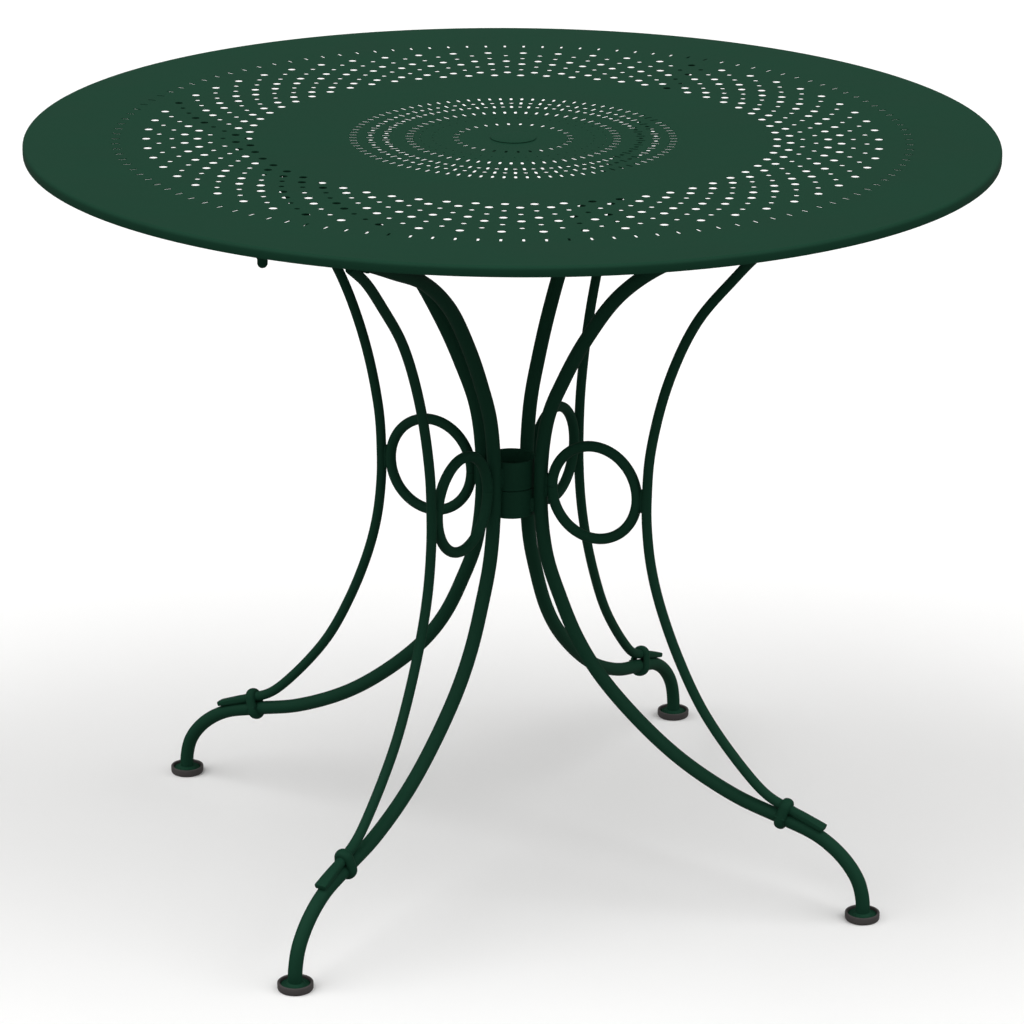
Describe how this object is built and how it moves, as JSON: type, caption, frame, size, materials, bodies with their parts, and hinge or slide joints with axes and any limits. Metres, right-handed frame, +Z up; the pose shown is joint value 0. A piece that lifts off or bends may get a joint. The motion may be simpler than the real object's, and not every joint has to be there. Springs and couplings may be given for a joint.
{
  "type": "bistro table",
  "caption": "Round painted-metal bistro table with a dished, pierced sheet top on S-shaped legs of bar and rod, scroll rings and a parasol hub.",
  "frame": {"origin": "on the floor under the middle of the table, midway between the feet", "axes": "+Z up along the table's axis; +X to the right and +Y to the back as the table is seen with the front_left and front_right legs nearest"},
  "size_m": [0.95, 0.95, 0.7584],
  "materials": {
    "green_paint": "satin powder coat, smooth, dark green",
    "black_glide": "matt moulded plastic",
    "zinc_steel": "bright zinc-plated steel"
  },
  "bodies": {
    "table": {"tabletop": "green_paint", "hub_ring_upper": "green_paint", "hub_ring_lower": "green_paint", "leg_bar_back_left": "green_paint", "leg_bar_front_left": "green_paint", "leg_bar_front_right": "green_paint", "leg_bar_back_right": "green_paint", "scroll_rod_back_left": "green_paint", "scroll_rod_front_left": "green_paint", "scroll_rod_front_right": "green_paint", "scroll_rod_back_right": "green_paint", "scroll_ring_back_left": "green_paint", "scroll_ring_front_left": "green_paint", "scroll_ring_front_right": "green_paint", "scroll_ring_back_right": "green_paint", "collar_back_left": "green_paint", "collar_front_left": "green_paint", "collar_front_right": "green_paint", "collar_back_right": "green_paint", "hub_weld_back_left": "green_paint", "hub_weld_front_left": "green_paint", "hub_weld_front_right": "green_paint", "hub_weld_back_right": "green_paint", "top_stud_back_left": "zinc_steel", "top_stud_front_left": "zinc_steel", "top_stud_front_right": "zinc_steel", "top_stud_back_right": "zinc_steel", "washer_back_left": "zinc_steel", "washer_front_left": "zinc_steel", "washer_front_right": "zinc_steel", "washer_back_right": "zinc_steel", "cap_nut_back_left": "green_paint", "cap_nut_front_left": "green_paint", "cap_nut_front_right": "green_paint", "cap_nut_back_right": "green_paint", "foot_disc_back_left": "green_paint", "foot_disc_front_left": "green_paint", "foot_disc_front_right": "green_paint", "foot_disc_back_right": "green_paint", "glide_back_left": "black_glide", "glide_front_left": "black_glide", "glide_front_right": "black_glide", "glide_back_right": "black_glide"},
    "plug": {"parasol_plug": "green_paint"}
  },
  "joints": [
    {"name": "parasol_plug_lift", "type": "slide", "parent": "table", "child": "plug", "axis": [0, 0, 1], "range_m": [0, 0.06]}
  ]
}
